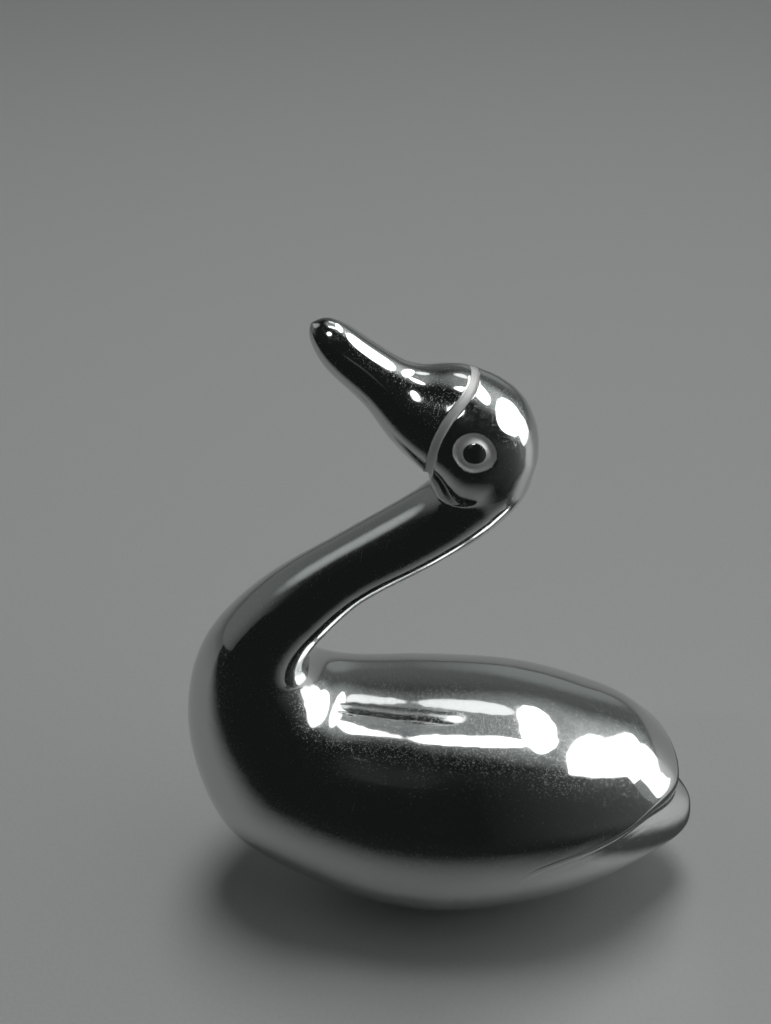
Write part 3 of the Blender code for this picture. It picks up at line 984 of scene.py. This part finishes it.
# Soft glows of the surroundings: azimuth, elevation, degrees from there where the glow is full and
# where it ends, and brightness
GLOWS = (
    (20.0, 0.0, 10.0, 70.0, 0.13),
    (20.0, 6.0, 5.0, 20.0, 0.16),
    (90.0, 18.0, 24.0, 40.0, 0.30),
    (80.0, 62.0, 18.0, 42.0, 0.34),
    (295.0, -5.0, 15.0, 62.0, 0.15),
    (275.0, 42.0, 6.0, 22.0, 0.45),
)
DIMMEST = 0.014
GLOW_COLOUR = (0.95, 1.0, 0.99, 1)

# The photograph's camera: where it stands in the bird's units, how far it is tipped up from straight
# down in degrees, and its lens, sensor and nearest distance
CAMERA_PLACE = (-9.33, -124.69, 168.93)
CAMERA_TILT = 52.0
CAMERA_LENS = 43.945
CAMERA_SENSOR = 36.0
CAMERA_NEAREST = 0.005

# The point that the soft boxes face
BOX_AIM = (0.0, 0.0, 0.035)


def direction(azimuth, elevation):
    turn, lift = math.radians(azimuth), math.radians(elevation)
    return Vector((math.sin(turn) * math.cos(lift), math.cos(turn) * math.cos(lift), math.sin(lift)))


def soft_box(name, first, last, width, brightness):
    """An elliptical light that spans two directions and faces the figurine."""
    ends = direction(*first), direction(*last)
    out = (ends[0] + ends[1]).normalized()
    length = ends[0].angle(ends[1])
    lamp = bpy.data.lights.new(name, "AREA")
    lamp.shape = "ELLIPSE"
    lamp.size = 2 * BOX_DISTANCE * math.tan(length / 2)
    lamp.size_y = 2 * BOX_DISTANCE * math.tan(math.radians(width / 2))
    lamp.energy = brightness * math.pi * lamp.size * lamp.size_y
    thing = bpy.data.objects.new(name, lamp)
    bpy.context.scene.collection.objects.link(thing)
    long_way = (ends[1] - ends[0]).normalized()
    across = out.cross(long_way).normalized()
    turn = Matrix((long_way, across, out)).transposed().to_4x4()
    thing.matrix_world = Matrix.Translation(Vector(BOX_AIM) + out * BOX_DISTANCE) @ turn
    return thing


def soft_glow():
    """A glow round one direction of the surroundings."""
    tree, start, end = new_group(
        "Soft glow",
        (
            ("Vector", "NodeSocketVector", None),
            ("Towards", "NodeSocketVector", None),
            ("Ends At", "NodeSocketFloat", 0.5),
            ("Full At", "NodeSocketFloat", 0.9),
            ("Brightness", "NodeSocketFloat", 0.2),
        ),
        (("Glow", "NodeSocketFloat"),),
    )
    link = tree.links.new
    facing = put(tree, "ShaderNodeVectorMath", (-500, 0), operation="DOT_PRODUCT")
    shade = put(tree, "ShaderNodeMapRange", (-200, 0), interpolation_type="SMOOTHSTEP")
    link(start.outputs["Vector"], facing.inputs[0])
    link(start.outputs["Towards"], facing.inputs[1])
    link(facing.outputs["Value"], shade.inputs["Value"])
    link(start.outputs["Ends At"], shade.inputs["From Min"])
    link(start.outputs["Full At"], shade.inputs["From Max"])
    link(start.outputs["Brightness"], shade.inputs["To Max"])
    link(shade.outputs["Result"], end.inputs["Glow"])
    return tree


def studio_world():
    """Dim surroundings with a few soft glows."""
    world = bpy.data.worlds.new("studio")
    world.use_nodes = True
    tree = world.node_tree
    link = tree.links.new
    background = tree.nodes["Background"]
    background.inputs["Color"].default_value = GLOW_COLOUR
    at = put(tree, "ShaderNodeTexCoord", (-1500, 0)).outputs["Generated"]
    group = soft_glow()
    total = DIMMEST
    for row, (azimuth, elevation, full, ends, brightness) in enumerate(GLOWS):
        values = {
            "Towards": direction(azimuth, elevation),
            "Full At": math.cos(math.radians(full)),
            "Ends At": math.cos(math.radians(ends)),
            "Brightness": brightness,
        }
        glow = placed_group(tree, group, (-1200, -220 * row), values)
        link(at, glow.inputs["Vector"])
        total = maths(tree, "ADD", (-900 + 180 * row, 0), total, glow.outputs[0])
    link(total, background.inputs["Strength"])
    bpy.context.scene.world = world


def sheet(name, middle, size, turn, material):
    """A flat rectangle of a width and height, turned by angles in degrees."""
    bm = bmesh.new()
    bmesh.ops.create_grid(bm, x_segments=1, y_segments=1, size=0.5)
    bmesh.ops.scale(bm, verts=bm.verts, vec=Vector((*size, 1)))
    turned = Euler([math.radians(angle) for angle in turn]).to_matrix()
    bmesh.ops.rotate(bm, verts=bm.verts, matrix=turned)
    bmesh.ops.translate(bm, verts=bm.verts, vec=Vector(middle))
    thing = object_of(bm, name)
    bm.free()
    thing.data.materials.append(material)
    return thing


def fading_black(name, edge, glow):
    """Near-black for the painted dark reflections, that fades in and out along one axis and has a faint
    painted glow that changes by another.
    """
    material, tree, shader = new_material(name)
    shader.inputs["Base Color"].default_value = (0.0, 0.0, 0.0, 1)
    shader.inputs["Specular IOR Level"].default_value = 0.0
    # Painted glow: the cards emit faintly, though they are no lamps
    shader.inputs["Emission Color"].default_value = GLOW_COLOUR
    split = put(tree, "ShaderNodeSeparateXYZ", (-700, 0))
    tree.links.new(put(tree, "ShaderNodeTexCoord", (-900, 0)).outputs["Object"], split.inputs[0])
    fades = []
    for clear, full in ((edge[1], edge[2]), (edge[4], edge[3])):
        span = {"From Min": clear, "From Max": full}
        place = (-400, 250 * len(fades))
        fades.append(ranged(tree, split.outputs[edge[0]], place, span, interpolation_type="SMOOTHSTEP"))
    tree.links.new(maths(tree, "MULTIPLY", (-200, 0), *fades), shader.inputs["Alpha"])
    span = {"From Min": glow[1], "From Max": glow[2], "To Min": glow[3], "To Max": glow[4]}
    painted_glow = ranged(tree, split.outputs[glow[0]], (-400, -300), span)
    tree.links.new(painted_glow, shader.inputs["Emission Strength"])
    return material


def shading_cards():
    """Cards that shade parts of what the polish reflects."""
    cards = []
    for name, middle, size, turn, edge, glow in CARDS:
        card = sheet(name, middle, size, turn, fading_black(name, edge, glow))
        card.visible_camera = False
        card.visible_diffuse = False
        card.visible_shadow = False
        cards.append(card)
    return cards


def photo_camera(unit):
    data = bpy.data.cameras.new("camera")
    data.lens = CAMERA_LENS
    data.sensor_width = CAMERA_SENSOR
    data.clip_start = CAMERA_NEAREST
    camera = bpy.data.objects.new("camera", data)
    bpy.context.scene.collection.objects.link(camera)
    camera.location = Vector(CAMERA_PLACE) * unit
    camera.rotation_euler = (math.radians(CAMERA_TILT), 0.0, 0.0)
    bpy.context.scene.camera = camera


def unit_of_frame():
    low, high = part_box(NODE)
    return (high.z - low.z) / UNITS_TALL


class SwanSizes(bpy.types.PropertyGroup):
    """Sizes of the carving and how finely the surface is divided."""

    crease_width: FloatProperty(
        name="Crease width",
        description="Width of the crease round the head",
        default=0.00100,
        unit="LENGTH",
        precision=5,
    )
    crease_depth: FloatProperty(
        name="Crease depth",
        description="Depth of the crease round the head",
        default=0.00030,
        unit="LENGTH",
        precision=5,
    )
    eye_ring_diameter: FloatProperty(
        name="Eye diameter",
        description="Diameter over the ring of each eye",
        default=0.0046,
        unit="LENGTH",
        precision=5,
    )
    eye_ring_width: FloatProperty(
        name="Eye ring width",
        description="Width of the ring of each eye",
        default=0.00105,
        unit="LENGTH",
        precision=5,
    )
    eye_ring_depth: FloatProperty(
        name="Eye ring depth",
        description="Depth of the ring of each eye",
        default=0.00034,
        unit="LENGTH",
        precision=5,
    )
    eye_boss_height: FloatProperty(
        name="Eye boss height",
        description="How far the middle of each eye domes out",
        default=0.00015,
        unit="LENGTH",
        precision=5,
    )
    fold_reach: FloatProperty(
        name="Fold reach",
        description="How far the fold between the throat and the head is rounded",
        default=0.00025,
        unit="LENGTH",
        precision=5,
    )
    hollow_reach: FloatProperty(
        name="Hollow reach",
        description="How far the joint of the nape and the head is rounded",
        default=0.0026,
        unit="LENGTH",
        precision=5,
    )
    body_columns: IntProperty(
        name="Body columns",
        description="Divisions round the body and the neck",
        default=144,
        min=40,
    )
    ring_gap: FloatProperty(
        name="Ring gap",
        description="Distance between the body's rings",
        default=0.00042,
        unit="LENGTH",
        precision=5,
    )


class SwanColours(bpy.types.PropertyGroup):
    """Colours of the metal and of the studio's floor."""

    metal: FloatVectorProperty(
        name="Metal",
        description="Reflectance of the polished metal",
        subtype="COLOR",
        default=(0.56, 0.575, 0.57),
        min=0,
        max=1,
    )
    engraved: FloatVectorProperty(
        name="Engraved metal",
        description="Reflectance of the satin lines",
        subtype="COLOR",
        default=(0.78, 0.78, 0.77),
        min=0,
        max=1,
    )
    dust: FloatVectorProperty(
        name="Dust",
        description="Colour of the dust",
        subtype="COLOR",
        default=(0.62, 0.61, 0.58),
        min=0,
        max=1,
    )
    floor: FloatVectorProperty(
        name="Floor",
        description="Colour of the studio's floor",
        subtype="COLOR",
        default=(0.50, 0.505, 0.50),
        min=0,
        max=1,
    )


class SWAN_OT_make_figurine(bpy.types.Operator):
    """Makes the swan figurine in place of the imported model's solid"""

    bl_idname = "swan.make_figurine"
    bl_label = "Make figurine"

    def execute(self, context):
        scene = context.scene
        mesh = figurine_mesh(scene.swan_sizes, unit_of_frame())
        groups = make_groups()
        mesh.materials.append(polished_metal(scene.swan_colours, groups))
        mesh.materials.append(ground_metal(scene.swan_colours, groups))
        figurine = bpy.data.objects.new("swan_figurine", mesh)
        scene.collection.objects.link(figurine)
        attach(figurine, "root")
        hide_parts(NODE)
        print("figurine triangles", sum(len(face.vertices) - 2 for face in mesh.polygons))
        return {"FINISHED"}


class SWAN_OT_make_studio(bpy.types.Operator):
    """Makes a plain floor, soft boxes, dim surroundings and the camera"""

    bl_idname = "swan.make_studio"
    bl_label = "Make studio"

    def execute(self, context):
        groups = {"grain": bpy.data.node_groups["Fine grain"]}
        board = pale_board(context.scene.swan_colours, groups)
        floor = sheet("floor", (0.0, 0.0, 0.0), (FLOOR_WIDTH, FLOOR_WIDTH), (0.0, 0.0, 0.0), board)
        shading_cards()
        for row in SOFT_BOXES:
            soft_box(*row).visible_diffuse = False
        soft_box(*WASH).visible_glossy = False
        studio_world()
        photo_camera(unit_of_frame())
        context.scene.view_settings.view_transform = "Standard"
        return {"FINISHED"}


class SWAN_PT_panel(bpy.types.Panel):
    """Sizes, colours and buttons in the 3D view's sidebar"""

    bl_label = "Swan figurine"
    bl_idname = "SWAN_PT_panel"
    bl_space_type = "VIEW_3D"
    bl_region_type = "UI"
    bl_category = "Swan"

    def draw(self, context):
        for group in (context.scene.swan_sizes, context.scene.swan_colours):
            for name in group.bl_rna.properties.keys():
                if name not in ("rna_type", "name"):
                    self.layout.prop(group, name)
        self.layout.operator(SWAN_OT_make_figurine.bl_idname)
        self.layout.operator(SWAN_OT_make_studio.bl_idname)


CLASSES = (SwanSizes, SwanColours, SWAN_OT_make_figurine, SWAN_OT_make_studio, SWAN_PT_panel)


def register():
    for made in CLASSES:
        bpy.utils.register_class(made)
    bpy.types.Scene.swan_sizes = PointerProperty(type=SwanSizes)
    bpy.types.Scene.swan_colours = PointerProperty(type=SwanColours)


def unregister():
    del bpy.types.Scene.swan_colours
    del bpy.types.Scene.swan_sizes
    for made in reversed(CLASSES):
        bpy.utils.unregister_class(made)


def main():
    for thing in list(bpy.data.objects):
        if thing.type in ("CAMERA", "LIGHT") or thing.name == "Cube":
            bpy.data.objects.remove(thing)
    register()
    bpy.ops.swan.make_figurine()
    bpy.ops.swan.make_studio()


if __name__ == "__main__":
    main()
